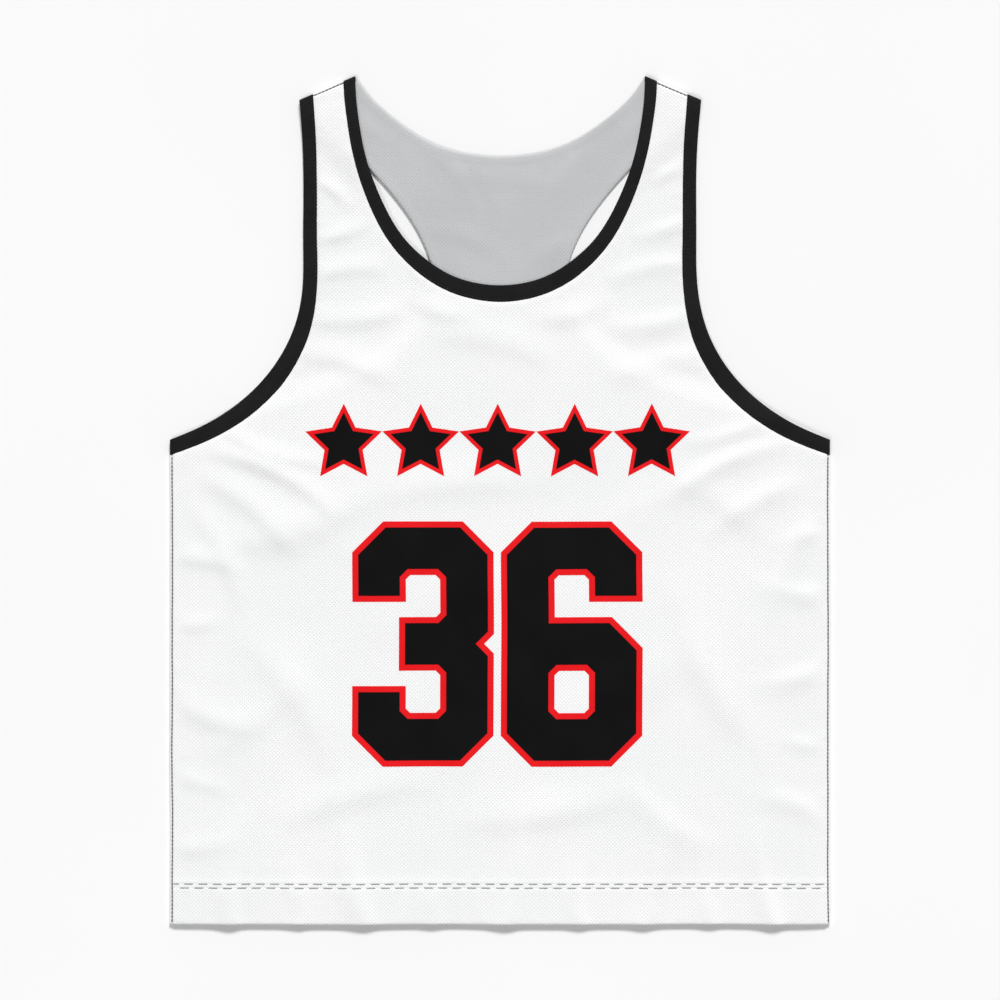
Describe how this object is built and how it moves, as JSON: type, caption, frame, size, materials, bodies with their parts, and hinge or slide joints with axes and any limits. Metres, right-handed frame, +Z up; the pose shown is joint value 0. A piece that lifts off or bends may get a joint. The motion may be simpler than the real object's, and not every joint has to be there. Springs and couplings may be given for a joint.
{
  "type": "reversible pinnie",
  "caption": "Sleeveless reversible sports pinnie laid flat, white shell over a grey shell, racerback, deep neck and armholes with black bands, block number and star row.",
  "frame": {"origin": "on the surface the garment lies on, under the middle of its length and width", "axes": "+Z up out of the front of the garment, +Y from hem to shoulders, +X to the wearer's left"},
  "size_m": [0.58, 0.7456, 0.0058],
  "materials": {
    "white_mesh": "white micro-mesh polyester knit, soft sheen",
    "grey_knit": "light grey smooth jersey knit, matte",
    "black_band": "black ribbed knit band, matte",
    "print_black": "black heat-pressed film, satin",
    "print_red": "red heat-pressed film, satin"
  },
  "bodies": {
    "root": {"outer_front": "white_mesh", "outer_back": "white_mesh", "inner_front": "grey_knit", "inner_back": "grey_knit", "neck_trim_front": "black_band", "neck_trim_back": "black_band", "armhole_trim_front_left": "black_band", "armhole_trim_front_right": "black_band", "armhole_trim_back_left": "black_band", "armhole_trim_back_right": "black_band", "number_three_fill": "print_black", "number_three_outline": "print_red", "number_six_fill": "print_black", "number_six_outline": "print_red", "number_six_counter_outline": "print_red", "star_1_fill": "print_black", "star_1_outline": "print_red", "star_2_fill": "print_black", "star_2_outline": "print_red", "star_3_fill": "print_black", "star_3_outline": "print_red", "star_4_fill": "print_black", "star_4_outline": "print_red", "star_5_fill": "print_black", "star_5_outline": "print_red"}
  },
  "joints": []
}
